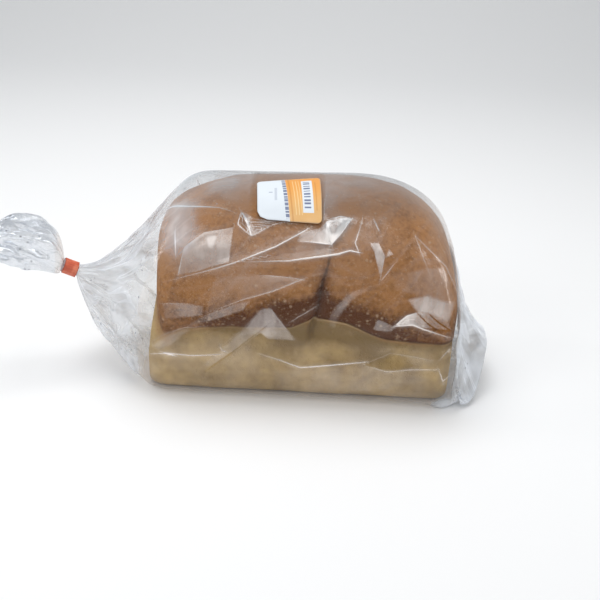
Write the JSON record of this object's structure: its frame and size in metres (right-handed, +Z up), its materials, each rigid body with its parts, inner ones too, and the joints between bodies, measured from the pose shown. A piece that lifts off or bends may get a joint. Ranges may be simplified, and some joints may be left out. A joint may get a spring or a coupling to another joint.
{
  "type": "loaf of bread in a clear bag",
  "caption": "Large domed loaf of bread in a clear film bag, gathered at one end and held with red tape, with a paper label on the dome.",
  "frame": {"origin": "middle of the loaf's flat underside", "axes": "+Z up, +X along the loaf towards the bag's welded end, -Y towards the side with the label"},
  "size_m": [0.4193, 0.1414, 0.1702],
  "materials": {
    "clear_film": "clear film over the brown and cream bread, glossy and creased",
    "bread": "baked crust, brown dome over pale cream sides, finely pored",
    "red_tape": "satin adhesive tape",
    "label_paper": "coated white and orange paper, slightly glossy"
  },
  "bodies": {
    "root": {"bag": "clear_film", "tie_band": "red_tape", "label": "label_paper"}
  },
  "joints": []
}
